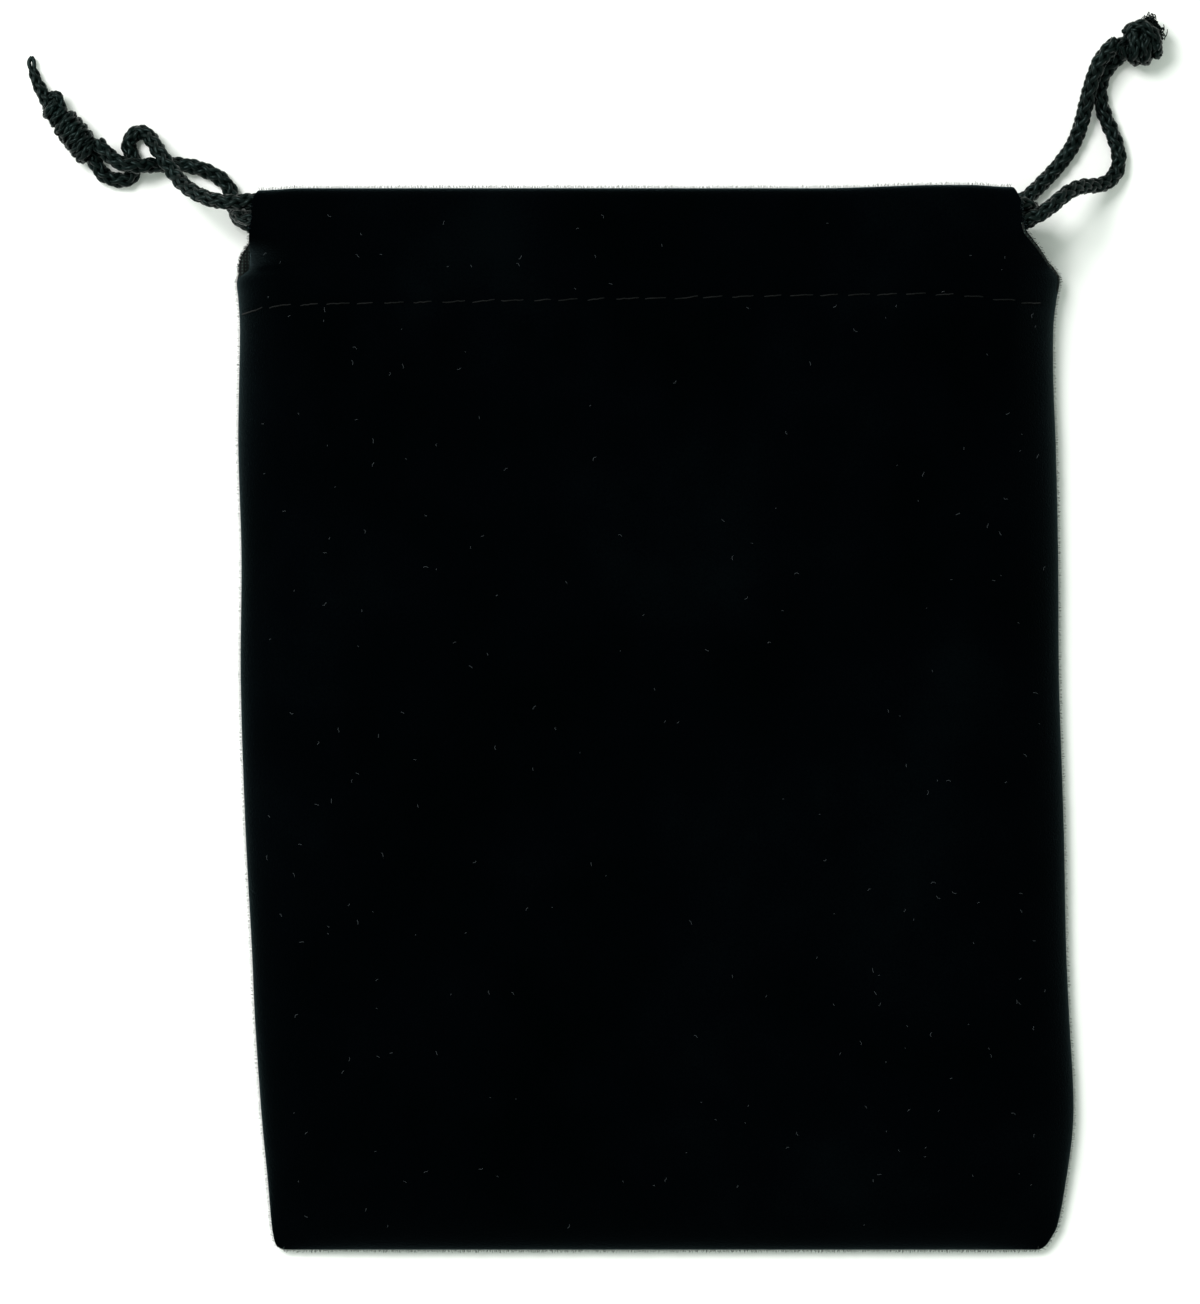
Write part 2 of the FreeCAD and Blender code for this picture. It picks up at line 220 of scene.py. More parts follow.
RIGHT_ROUTE = [
    (0.0587, 0.0833, 0.0014), (0.0571, 0.082, 0.00105), (0.056, 0.0801, 0.00105),
    (0.0558, 0.0779, 0.00105), (0.0564, 0.0756, 0.00105), (0.0576, 0.073, 0.00105),
    (0.0584, 0.0704, 0.00105), (0.0579, 0.068, 0.00125), (0.056, 0.0666, 0.0026),
    (0.0537, 0.0665, 0.005), (0.0516, 0.0657, 0.0079), (0.0496, 0.0639, 0.0095),
    (0.047, 0.062, IN_FRONT), (0.0425, 0.06175, IN_FRONT), (0.035, 0.0618, IN_FRONT),
    (0.02, 0.0617, IN_FRONT), (-0.006, 0.0618, IN_FRONT), (-0.036, 0.0617, IN_FRONT),
    (-0.0522, 0.0618, IN_FRONT), (-0.0522, 0.0644, IN_BACK), (-0.036, 0.0643, IN_BACK),
    (-0.006, 0.0644, IN_BACK), (0.018, 0.0643, IN_BACK), (0.033, 0.0644, IN_BACK),
    (0.041, 0.06435, IN_BACK), (0.0459, 0.0645, IN_BACK), (0.0483, 0.0667, 0.0012),
    (0.0505, 0.069, 0.00105), (0.0524, 0.0715, 0.00105), (0.0535, 0.0743, 0.0013),
    (0.0541, 0.0773, 0.0026), (0.0549, 0.0804, 0.0035), (0.056, 0.083, 0.00375),
    (0.0578, 0.0846, 0.0037),
]


def spline_line(name, route, resolution=12):
    """Points along one open NURBS spline that has the route as its control points."""
    data = bpy.data.curves.new(name, "CURVE")
    data.dimensions = "3D"
    spline = data.splines.new("NURBS")
    spline.points.add(len(route) - 1)
    for point, place in zip(spline.points, route):
        point.co = (*place, 1.0)
    spline.order_u = 3
    spline.use_endpoint_u = True
    spline.resolution_u = resolution
    holder = bpy.data.objects.new(name, data)
    mesh = bpy.data.meshes.new_from_object(holder)
    line = [v.co.copy() for v in mesh.vertices]
    bpy.data.meshes.remove(mesh)
    bpy.data.objects.remove(holder)
    return line


def length_of(line):
    return sum((b - a).length for a, b in zip(line, line[1:]))


def evenly(line, step):
    """The same line with its points a step apart."""
    count = max(2, round(length_of(line) / step))
    step = length_of(line) / count
    out = [line[0].copy()]
    travelled = 0.0
    for a, b in zip(line, line[1:]):
        span = (b - a).length
        while span > 0 and len(out) * step <= travelled + span + 1e-12 and len(out) < count:
            out.append(a.lerp(b, (len(out) * step - travelled) / span))
        travelled += span
    out.append(line[-1].copy())
    return out


STEP = 0.3 * MM
left_line = evenly(spline_line("left_route", LEFT_ROUTE), STEP)
right_line = evenly(spline_line("right_route", RIGHT_ROUTE), STEP)
print("cord lengths", round(length_of(left_line), 4), round(length_of(right_line), 4))

# %% [markdown]
# ## Braiding
# Eight flat bundles of filaments wind round a soft core, four each way, and each dives under
# the next one it meets. A bundle's path is a helix whose distance from the middle rises and
# falls four times a turn; the bundles that wind the other way do the opposite. Curves with a
# round bevel turn the paths into meshes, which is far easier than sweeping rings by hand.


# %% Braid helpers
def carried_frames(line):
    """For each point of a line: the point and two directions across it that don't twist."""
    frames = []
    across = None
    for i, point in enumerate(line):
        ahead = (line[min(i + 1, len(line) - 1)] - line[max(i - 1, 0)]).normalized()
        if across is None:
            across = ahead.orthogonal()
        across = (across - across.dot(ahead) * ahead).normalized()
        frames.append((point, across, ahead.cross(across)))
    return frames


def bevelled(name, lines, radius, sides=1, radii=None):
    """One mesh of round tubes, one along each line."""
    data = bpy.data.curves.new(name, "CURVE")
    data.dimensions = "3D"
    data.bevel_depth = radius
    data.bevel_resolution = sides
    data.use_fill_caps = True
    for k, line in enumerate(lines):
        spline = data.splines.new("POLY")
        spline.points.add(len(line) - 1)
        for i, (point, place) in enumerate(zip(spline.points, line)):
            point.co = (*place, 1.0)
            point.radius = 1.0 if radii is None else radii[k][i]
    holder = bpy.data.objects.new(name + "_curve", data)
    mesh = bpy.data.meshes.new_from_object(holder)
    bpy.data.objects.remove(holder)
    return mesh


def as_object(name, meshes, material):
    """Join meshes into one smooth-shaded object at the origin."""
    bm = bmesh.new()
    for mesh in meshes:
        bm.from_mesh(mesh)
        bpy.data.meshes.remove(mesh)
    whole = bpy.data.meshes.new(name)
    bm.to_mesh(whole)
    bm.free()
    whole.polygons.foreach_set("use_smooth", [True] * len(whole.polygons))
    whole.materials.append(material)
    thing = bpy.data.objects.new(name, whole)
    bpy.context.collection.objects.link(thing)
    return thing


BUNDLES_EACH_WAY = 4
LAY = 7.6 * MM            # length of one full turn of a bundle


def braid_meshes(name, line, radius, scale=None):
    """Meshes of a round braid along a line: eight bundles and a core."""
    frames = carried_frames(line)
    scale = scale or [1.0] * len(line)
    middle = 0.57 * radius
    wave = 0.12 * radius
    paths = []
    for way in (1, -1):
        for bundle in range(BUNDLES_EACH_WAY):
            start = 2 * math.pi * bundle / BUNDLES_EACH_WAY
            travelled = 0.0
            path = []
            for i, (point, across, up) in enumerate(frames):
                if i:
                    travelled += (line[i] - line[i - 1]).length
                turn = 2 * math.pi * travelled / (LAY * radius * 2 / CORD_DIAMETER)
                out = scale[i] * (middle + way * wave * math.cos(BUNDLES_EACH_WAY * turn))
                angle = start + way * turn
                path.append(point + out * (math.cos(angle) * across + math.sin(angle) * up))
            paths.append(path)
    return [bevelled(name, paths, 0.37 * radius, 1, [scale] * len(paths)),
            bevelled(name, [line], 0.62 * radius, 1, [scale])]


def cord_piece(name, line, body):
    piece = as_object(name, braid_meshes(name, line, CORD_DIAMETER / 2), CORD_MATERIAL)
    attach(piece, body)
    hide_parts(body.replace("drawstring", "cord"))
    return piece


left_cord = cord_piece("left_drawstring_cord", left_line, "left_drawstring")
right_cord = cord_piece("right_drawstring_cord", right_line, "right_drawstring")
print("braid triangles", 2 * len(left_cord.data.polygons), 2 * len(right_cord.data.polygons))

# %% [markdown]
# ## Knots
# Both knots are wraps of the cord's own ends round themselves, pulled tight, so each is the same
# braid wound in a short helix. The left one is a long barrel with a smaller turn behind it; the
# right one is a fat overhand knot whose turns stand across the pull.


# %% Knot helpers
def wound(centre, axis, turns, radius, pitch, start=0.0, swell=0.0):
    """A helix of so many turns round an axis, its middle at the centre."""
    axis = Vector(axis).normalized()
    across = axis.orthogonal().normalized()
    up = axis.cross(across)
    count = int(turns * 22)
    line = []
    for i in range(count + 1):
        share = i / count
        angle = start + 2 * math.pi * turns * share
        bulge = radius * (1 + swell * math.sin(math.pi * share))
        along = (share - 0.5) * turns * pitch
        line.append(Vector(centre) + axis * along
                    + bulge * (math.cos(angle) * across + math.sin(angle) * up))
    return line


def knot_piece(name, parts, body, node):
    """A knot from (line, cord radius) parts, riding on its cord's body."""
    meshes = []
    for line, radius in parts:
        meshes += braid_meshes(name, evenly(line, 0.25 * MM), radius)
    piece = as_object(name, meshes, CORD_MATERIAL)
    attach(piece, body)
    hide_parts(node)
    return piece


# %% Left knot
LEFT_AXIS = Vector((-3.6, 4.6, 0.0)).normalized()
LEFT_BARREL = Vector((-72.4, 72.6, 2.15)) * MM
LEFT_LUMP = Vector((-75.3, 76.0, 1.95)) * MM

left_core = spline_line("left_core", [
    (-0.0702, 0.0701, 0.0022), (-0.0715, 0.0716, 0.0021), (-0.0735, 0.0742, 0.0021),
    (-0.0752, 0.0763, 0.0019), (-0.0760, 0.0776, 0.0016),
])
left_lobe = spline_line("left_lobe", [
    (-0.0742, 0.0745, 0.0022), (-0.0744, 0.0765, 0.0024), (-0.0750, 0.0782, 0.0022),
    (-0.0760, 0.0776, 0.0016), (-0.0762, 0.0760, 0.0014), (-0.0752, 0.0748, 0.0016),
])
left_knot = knot_piece("left_stopper_knot", [
    (wound(LEFT_BARREL, LEFT_AXIS, 5.0, 1.12 * MM, 1.08 * MM, 0.8, 0.14), 0.78 * MM),
    (wound(LEFT_LUMP, LEFT_AXIS, 2.1, 0.88 * MM, 1.3 * MM, 2.4, 0.08), 0.68 * MM),
    (left_core, 0.8 * MM),
    (left_lobe, 0.72 * MM),
], "left_drawstring", "left_knot")
print("left knot faces", len(left_knot.data.polygons))

# %% Right knot
RIGHT_AXIS = Vector((1.0, -0.10, 0.0)).normalized()
RIGHT_CENTRE = Vector((60.7, 84.4, 2.95)) * MM

right_core = spline_line("right_core", [
    (0.0577, 0.0838, 0.0024), (0.0590, 0.0846, 0.0030), (0.0606, 0.0848, 0.0031),
    (0.0618, 0.0856, 0.0030), (0.0625, 0.0868, 0.0027),
])
right_knot = knot_piece("right_overhand_knot", [
    (wound(RIGHT_CENTRE, RIGHT_AXIS, 3.0, 1.30 * MM, 1.22 * MM, 1.2, 0.55), 0.95 * MM),
    (right_core, 1.0 * MM),
    (spline_line("right_cross", [
        (0.0590, 0.0856, 0.0038), (0.0601, 0.0867, 0.0048), (0.0617, 0.0862, 0.0053),
        (0.0628, 0.0845, 0.0045), (0.0628, 0.0830, 0.0026),
    ]), 0.85 * MM),
], "right_drawstring", "right_knot")
print("right knot faces", len(right_knot.data.polygons))

# %% [markdown]
# ## Ends of the cords
# The left cord ends in a short flat-pressed tail that narrows, with a tiny eyelet where two of
# its bundles part and meet again at the tip. The right cord's end has come apart into a tuft of
# curled filaments.

# %% Left tail
tail_line = evenly(spline_line("left_tail_line", [
    (-0.0760, 0.0768, 0.0017), (-0.0768, 0.0783, 0.0013), (-0.0777, 0.0799, 0.0011),
    (-0.0781, 0.0813, 0.0010),
]), 0.2 * MM)
tail_taper = [1.0 - 0.32 * (i / (len(tail_line) - 1)) ** 2 for i in range(len(tail_line))]
eyelet = [
    spline_line("eyelet_left", [
        (-0.0780, 0.0808, 0.0010), (-0.0786, 0.0817, 0.0010), (-0.0786, 0.0826, 0.0009),
        (-0.0782, 0.0829, 0.0009),
    ]),
    spline_line("eyelet_right", [
        (-0.0780, 0.0808, 0.0010), (-0.0779, 0.0818, 0.0010), (-0.0780, 0.0826, 0.0009),
        (-0.0783, 0.0829, 0.0009),
    ]),
]
left_tail = as_object(
    "left_cord_tail",
    braid_meshes("left_tail", tail_line, 0.92 * MM, tail_taper)
    + [bevelled("eyelet", eyelet, 0.27 * MM, 2)],
    CORD_MATERIAL)
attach(left_tail, "left_drawstring")
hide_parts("left_tail")
print("tail length", round(length_of(tail_line), 4))


# %% Right tuft
def curled_fibre(chance, root, tip, curl):
    """A filament from root to tip that bows out sideways and curls over."""
    wander = Vector([chance.uniform(-1, 1) for _ in range(3)]) * curl
    middle = root.lerp(tip, 0.55) + wander
    back = root.lerp(tip, chance.uniform(0.55, 0.95)) + 0.8 * wander.cross(tip - root).normalized() * curl
    route = [root, root.lerp(middle, 0.5), middle, tip, back]
    for point in route:
        point.z = max(point.z, 0.15 * MM)
    return spline_line("fibre", route, 4)


TUFT_ROOT = Vector((61.6, 85.6, 2.9)) * MM
TUFTS = [
    # where its filaments reach, how far they spread, how many, how much they curl
    (Vector((62.0, 87.3, 2.6)) * MM, 1.0 * MM, 300, 0.60 * MM),
    (Vector((62.6, 86.4, 3.0)) * MM, 0.85 * MM, 90, 0.60 * MM),
    (Vector((63.4, 85.8, 2.4)) * MM, 0.80 * MM, 60, 1.10 * MM),
]
FIBRE_RADIUS = 0.055 * MM

chance = random.Random(8)
fibres = []
for reach, spread, count, curl in TUFTS:
    for _ in range(count):
        tip = reach + Vector([chance.gauss(0, 0.5) for _ in range(3)]) * spread
        root = TUFT_ROOT + Vector([chance.gauss(0, 0.4) for _ in range(3)]) * MM
        fibres.append(curled_fibre(chance, root, tip, curl))
right_tuft = as_object("right_frayed_tuft", [bevelled("tuft", fibres, FIBRE_RADIUS, 0)], CORD_MATERIAL)
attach(right_tuft, "right_drawstring")
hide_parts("right_tuft")
print("filaments", len(fibres))

# %% [markdown]
# ## The gather
# When a cord is pulled its knot moves away from the bag, and its far turn drags the other end of
# the mouth inwards. Cloth above the gather line therefore splits in two: the funnel in the middle
# is squeezed towards the bag's centre line, and the flanks outside it swing in with the casing's
# ends. The edge between them is the curve that keeps both in step at every pull, and it follows
# from the squeeze that is left when the cord is right out.

# %% Gather zones
GATHER_Y = -20.0 * MM     # below this the cloth stays flat
FUNNEL_HALF = 41.0 * MM   # half the width of the funnel at the mouth
MOUTH_Y = CASING_HIGH.y


def smooth(t):
    """0 below 0, 1 above 1, and a smooth rise between."""
    t = min(max(t, 0.0), 1.0)
    return t * t * (3.0 - 2.0 * t)


def funnel(y):
    """Half-width of the squeezed funnel at y."""
    return FUNNEL_HALF * smooth((y - GATHER_Y) / (MOUTH_Y - GATHER_Y))


def zone_of(x, y):
    """Which of the four zones a point of the cloth belongs to."""
    side = "left" if x < 0 else "right"
    return side + ("_middle" if abs(x) < funnel(y) else "_flank")


ZONES = ["left_flank", "left_middle", "right_middle", "right_flank"]


def gather(piece, zone):
    """Hang a finished middle piece on the bag with a mesh of its own; a flank piece only gets its place
    baked into its mesh.
    """
    if zone.endswith("middle"):
        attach(piece, "bag")
        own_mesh(piece)
    else:
        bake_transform(piece)
    return piece


# %% [markdown]
# ## Velvet
# Velvet is a woven backing with a dense short pile. Light that falls straight into the pile is
# swallowed, so the middle of a black panel is almost without tone, and the pile only lights up
# where it is seen from the side, along every rolled edge. That is what the sheen layer is for.
# The pile's own tips are a few hundredths of a millimetre, so the grain is drawn at a quarter of
# a millimetre and the slow change of tone, where the pile has been brushed, at two centimetres.


# %% Velvet material
def black_velvet():
    material, tree = new_material("black_velvet")
    place = add(tree, "ShaderNodeTexCoord").outputs["Object"]
    tips = add(tree, "ShaderNodeTexNoise", Vector=place, Scale=per_metre(0.26 * MM),
               Detail=2.0, Roughness=0.7).outputs["Fac"]
    brushed = add(tree, "ShaderNodeTexNoise", Vector=place, Scale=per_metre(22 * MM),
                  Detail=3.0, Roughness=0.55).outputs["Fac"]
    tone = add(tree, "ShaderNodeMath", {"operation": "MULTIPLY_ADD"}, _0=tips, _1=0.45, _2=brushed)
    colour = ramp(tree, tone.outputs[0], [(0.45, "#000101"), (0.80, "#010203"), (1.05, "#020405")])
    bump = add(tree, "ShaderNodeBump", Height=tips, Strength=0.8, Distance=0.12 * MM)
    shader = add(tree, "ShaderNodeBsdfPrincipled", Base_Color=colour.outputs["Color"],
                 Normal=bump.outputs["Normal"], Roughness=1.0)
    shader.inputs["Specular IOR Level"].default_value = 0.0
    shader.inputs["Sheen Weight"].default_value = 0.30
    shader.inputs["Sheen Roughness"].default_value = 0.30
    shader.inputs["Sheen Tint"].default_value = hex_colour("#93b0b6")
    add(tree, "ShaderNodeOutputMaterial", Surface=shader.outputs["BSDF"])
    return material


def woven_backing():
    """The dull plain-woven side of the velvet, seen inside the bag and along its raw edges."""
    material, tree = new_material("woven_backing")
    place = add(tree, "ShaderNodeTexCoord").outputs["Object"]
    yarn = 0.4 * MM
    warp, weft = (add(tree, "ShaderNodeTexWave", {"bands_direction": way}, Vector=place,
                      Scale=per_metre(yarn) * 0.05 * math.tau, Distortion=0.6, Detail=1.0).outputs["Fac"]
                  for way in ("X", "Y"))
    weave = add(tree, "ShaderNodeMath", {"operation": "MULTIPLY"}, _0=warp, _1=weft)
    colour = ramp(tree, weave.outputs[0], [(0.0, "#040706"), (0.5, "#101816"), (1.0, "#32413c")])
    bump = add(tree, "ShaderNodeBump", Height=weave.outputs[0], Strength=0.5, Distance=0.1 * MM)
    shader = add(tree, "ShaderNodeBsdfPrincipled", Base_Color=colour.outputs["Color"],
                 Normal=bump.outputs["Normal"], Roughness=0.85)
    shader.inputs["Specular IOR Level"].default_value = 0.2
    add(tree, "ShaderNodeOutputMaterial", Surface=shader.outputs["BSDF"])
    return material


VELVET = black_velvet()
BACKING = woven_backing()
print("materials", VELVET.name, BACKING.name)

# %% [markdown]
# ## The bag's outline
# Hand-sewn pouches aren't square: the left side leans in towards the bottom, the right side
# bellies out low down and ends in a cut-off corner. A few points down each side are enough, and
# a smooth curve joins them. Above the side seams the casing's ends are cut back.

# %% Outline
SIDE_POINTS = [
    # height, left edge, right edge, in millimetres
    (-66.8, -46.6, 48.2), (-66.5, -47.3, 48.8), (-66.1, -47.6, 49.2), (-65.5, -47.8, 49.6),
    (-63.8, -48.1, 50.5), (-58.0, -48.6, 51.6),
    (-52.0, -49.2, 52.4), (-47.0, -49.6, 52.5), (-38.0, -50.2, 52.0), (-29.0, -50.6, 51.6),
    (-14.0, -51.4, 51.3), (5.0, -52.0, 50.7), (20.0, -51.9, 50.6), (34.0, -52.3, 50.3),
    (42.0, -52.2, 50.0), (49.0, -52.1, 50.0), (52.5, -52.3, 50.4), (54.6, -52.5, 50.8),
    (55.6, -52.2, 50.6), (56.8, -52.2, 49.7), (58.4, -51.7, 48.3), (60.0, -50.6, 46.8),
    (61.2, -50.4, 46.0), (62.4, -50.2, 45.5), (66.6, -50.2, 45.3),
]
LEFT, RIGHT = 1, 2
# How much back cloth shows past the front's, and from which height and over what length it closes.
NOTCH_SHOW = {LEFT: 1.5 * MM, RIGHT: 0.45 * MM}
NOTCH_CLOSES = {LEFT: (57.4 * MM, 3.2 * MM), RIGHT: (60.0 * MM, 1.8 * MM)}


def edge(y, side):
    """Where the left (side 1) or right (side 2) edge of the bag is at height y, in metres."""
    y /= MM
    i = 0
    while i < len(SIDE_POINTS) - 2 and y > SIDE_POINTS[i + 1][0]:
        i += 1
    y0, y1 = SIDE_POINTS[i][0], SIDE_POINTS[i + 1][0]
    before = SIDE_POINTS[max(i - 1, 0)]
    after = SIDE_POINTS[min(i + 2, len(SIDE_POINTS) - 1)]
    a, b = SIDE_POINTS[i][side], SIDE_POINTS[i + 1][side]
    slope_a = (b - before[side]) / max(y1 - before[0], 1e-6)
    slope_b = (after[side] - a) / max(after[0] - y0, 1e-6)
    t = min(max((y - y0) / (y1 - y0), 0.0), 1.0)
    h = y1 - y0
    value = ((2 * t ** 3 - 3 * t * t + 1) * a + (t ** 3 - 2 * t * t + t) * h * slope_a
             + (3 * t * t - 2 * t ** 3) * b + (t ** 3 - t * t) * h * slope_b)
    return value * MM


def rim(face, side, y):
    """Edge of one face. In the notch the front's edge lies a little inside the back's."""
    if face == "back":
        return edge(y, side)
    closing, taper = NOTCH_CLOSES[side]
    parted = smooth((y - 54.8 * MM) / (1.6 * MM)) * (1.0 - smooth((y - closing) / taper))
    show = NOTCH_SHOW[side] * parted
    return edge(y, side) + (show if side == LEFT else -show)


def mouth_dip(x):
    """How far the top fold hangs below its straight line: it was turned by hand."""
    x /= MM
    ends = 0.25 * smooth((x - 39) / 5) + 0.25 * smooth((-x - 44) / 5)
    return (0.72 - 0.42 * smooth((x - 20) / 16) + ends) * MM


def hang(x, y):
    """How far the cloth hangs at a place: nothing at the notch, the whole dip near the fold."""
    return mouth_dip(x) * smooth((y - 60.0 * MM) / (6.0 * MM))


def stitch_line(x):
    """Height of the casing's stitching at x: sewn by hand guidance, so it climbs a little."""
    x /= MM
    climb = 0.0175 * x - 1.5 * smooth((x - 32) / 20) - 0.7 * smooth((-x - 47) / 5)
    return (52.15 + climb) * MM


print("width at the mouth", round(edge(MOUTH_Y, RIGHT) - edge(MOUTH_Y, LEFT), 4))

# %% [markdown]
# ## The cloth's shape
# An empty pouch isn't flat: its panels spring a few millimetres apart in the middle, roll over
# into the seams at the sides and bottom, and pucker where the thread draws them in. The front
# panel's height is worked out point by point from its distance to each seam. Above the side
# seams the front and back casings part, and leave the notch that the cords come out of.

# %% Heights
CLOTH = 0.6 * MM
SEAM_Z = 1.5 * MM         # the side and bottom seams, halfway between the panels
HEM_Z = CASING_LOW.z
BOTTOM_Y = PANEL_LOW.y - 0.2 * MM
NOTCH_LOW = 54.6 * MM     # the side seam stops here
NOTCH_HIGH = 60.2 * MM    # the casings are fully apart here
ROLL_SIDE = 15.0 * MM     # how far in from a side seam the front panel levels out
ROLL_BOTTOM = 21.0 * MM
BACK_ROLL = 2.6 * MM      # the back panel only curls up right at the seams
CROWN = [(-66.6, 8.0), (-40.0, 8.1), (-8.0, 8.6), (20.0, 9.1), (40.0, 10.0), (51.8, 11.4), (70.0, 11.4)]


def rolled(t):
    """Profile of a rolled edge: upright at 0, level at 1."""
    t = min(max(t, 0.0), 1.0)
    return (1.0 - (1.0 - t) ** 2.4) ** 0.62


def crown(y):
    """Height of the front panel's middle at y."""
    y /= MM
    for (y0, z0), (y1, z1) in zip(CROWN, CROWN[1:]):
        if y <= y1:
            return (z0 + (z1 - z0) * smooth((y - y0) / (y1 - y0))) * MM
    return CROWN[-1][1] * MM


def open_share(y):
    """How far the front and back edges have parted at y: 0 on the seam, 1 in the notch."""
    return smooth((y - NOTCH_LOW) / (NOTCH_HIGH - NOTCH_LOW))


def wrinkles(x, y, side_gap):
    """Small lifts of the cloth: puckers at the seams, folds below the casing, slack in the middle."""
    slack = noise.noise(Vector((x, y, 0)) / (17 * MM)) * 0.30 * MM
    fine = noise.noise(Vector((x, y, 0.03)) / (5.5 * MM)) * 0.06 * MM
    pucker = 0.14 * MM * math.exp(-side_gap / (4.0 * MM)) * math.sin(y / (0.9 * MM)
             + 2.0 * noise.noise(Vector((0, y, 0)) / (9 * MM)))
    below = stitch_line(x) - y
    drawn = math.exp(-max(below, 0.0) / (16 * MM)) if below > 0 else 0.45
    uneven = 1.0 + 0.8 * noise.noise(Vector((x, 0, 0)) / (11 * MM))
    folds = 0.24 * MM * drawn * uneven * math.sin(math.tau * x / (7.2 * MM)
            + 2.4 * noise.noise(Vector((x, y * 0.4, 0)) / (14 * MM)))
    inside = min(side_gap / (6 * MM), 1.0)
    return pucker + (slack + fine + folds) * inside


def front_height(x, y):
    """Height of the front panel's outside at a place."""
    side_gap = min(x - rim("front", LEFT, y), rim("front", RIGHT, y) - x)
    rise = rolled(side_gap / ROLL_SIDE) * rolled((y - BOTTOM_Y) / ROLL_BOTTOM)
    parted = open_share(y)
    rise = rise + (1.0 - rise) * parted
    z = SEAM_Z + (crown(y) - SEAM_Z) * rise
    z += wrinkles(x, y, max(side_gap, 0.0)) * (1.0 - 0.8 * parted) * rise
    from_stitch = (y - stitch_line(x)) / (0.8 * MM)
    z -= 0.42 * MM * math.exp(-from_stitch ** 2) * min(rise * 1.5, 1.0)
    turned = smooth(1.0 - side_gap / (1.4 * MM)) * parted
    return z + 0.18 * MM * turned


def back_height(x, y):
    """Height of the back panel's outside: on the surface, curling up at the seams."""
    side_gap = min(x - rim("back", LEFT, y), rim("back", RIGHT, y) - x)
    flat = rolled(side_gap / BACK_ROLL) * rolled((y - BOTTOM_Y) / BACK_ROLL)
    flat = flat + (1.0 - flat) * open_share(y)
    return SEAM_Z * (1.0 - flat)


print("middle of the front panel stands", round(front_height(0, 0), 4))

# %% [markdown]
# ## Cutting and turning the cloth
# One strip of cloth makes a panel: up the outside, over the top fold and back down the inside as
# the hem. A grid is made with as many rows as that strip needs, close together where it bends,
# and every vertex is put in its place. A Solidify modifier gives it the cloth's thickness, with
# the woven backing on its inner side.

# %% Rows of the strip
FOLD_RADIUS = 1.8 * MM
HEM_LOW = 52.6 * MM
HEM_CUTBACK = 2.0 * MM
FOLD_ROWS = 9


def spaced(start, end, step):
    count = max(1, round(abs(end - start) / step))
    return [start + (end - start) * i / count for i in range(count)]


def strip_rows():
    """(y, how far round the fold, layer) for each row, from the bottom seam to the hem's edge."""
    rows = [(BOTTOM_Y + ROLL_BOTTOM * 0.14 * (i / 9) ** 1.8, 0.0, "outer") for i in range(9)]
    rows += [(y, 0.0, "outer") for y in spaced(BOTTOM_Y + ROLL_BOTTOM * 0.14, GATHER_Y, 1.1 * MM)]
    rows += [(y, 0.0, "outer") for y in spaced(GATHER_Y, 49.0 * MM, 1.0 * MM)]
    rows += [(y, 0.0, "outer") for y in spaced(49.0 * MM, 63.0 * MM, 0.5 * MM)]
    rows += [(y, 0.0, "outer") for y in spaced(63.0 * MM, MOUTH_Y - FOLD_RADIUS, 0.6 * MM)]
    for i in range(FOLD_ROWS):
        angle = math.pi * i / (FOLD_ROWS - 1)
        rows.append((MOUTH_Y - FOLD_RADIUS * (1 - math.sin(angle)), angle, "fold"))
    rows += [(y, math.pi, "hem") for y in spaced(MOUTH_Y - FOLD_RADIUS, HEM_LOW, 0.8 * MM)[1:]]
    rows.append((HEM_LOW, math.pi, "hem"))
    return rows


ROWS = strip_rows()


def outer_limits(face, y, turned):
    """Left and right end of a row; the hem stops short of the casing's ends."""
    if turned <= 0.0:
        return rim(face, LEFT, y), rim(face, RIGHT, y)
    tuck = HEM_CUTBACK * turned / math.pi
    narrow = 4.5 * MM * (1.0 - smooth((y - HEM_LOW) / (7 * MM))) * (turned >= math.pi)
    return edge(MOUTH_Y, LEFT) + tuck + narrow, edge(MOUTH_Y, RIGHT) - tuck - narrow


def strip_height(face, x, y, turned):
    """Height of the strip on the front or back of the bag."""
    if face == "front":
        outer, hem, sign = front_height, HEM_Z, -1
    else:
        outer, hem, sign = back_height, BACK_TOP, 1
    if turned <= 0.0:
        return outer(x, y)
    level = outer(x, MOUTH_Y - FOLD_RADIUS)
    if turned < math.pi:
        middle = (level + hem) / 2
        return middle + (level - middle) * math.cos(turned)
    sewn = 1.0 - smooth((y - HEM_LOW) / (3.2 * MM))
    meet = outer(x, y) + sign * 2.1 * CLOTH
    return hem + (meet - hem) * sewn


print("rows", len(ROWS))


# %% Cloth pieces
def row_span(face, zone, y, turned):
    """Where a row of one zone begins and ends."""
    low, high = outer_limits(face, y, turned)
    inner = funnel(y)
    if zone == "left_flank":
        return low, -min(inner, -low)
    if zone == "right_flank":
        return min(inner, high), high
    if zone == "left_middle":
        return -min(inner, -low), 0.0
    return 0.0, min(inner, high)


FLANK_COLUMNS = 46
MIDDLE_COLUMNS = 42
CROWDING = 1.7            # how strongly columns crowd towards a side seam


def column_shares(zone):
    """Shares across a row, close together at a side seam."""
    if zone == "left_flank":
        return [(i / FLANK_COLUMNS) ** CROWDING for i in range(FLANK_COLUMNS + 1)]
    if zone == "right_flank":
        return [1 - (1 - i / FLANK_COLUMNS) ** CROWDING for i in range(FLANK_COLUMNS + 1)]
    return [i / MIDDLE_COLUMNS for i in range(MIDDLE_COLUMNS + 1)]


def zone_rows(zone):
    """The rows that a zone has: a middle begins at the gather line."""
    return [row for row in ROWS if row[0] >= GATHER_Y or "flank" in zone]


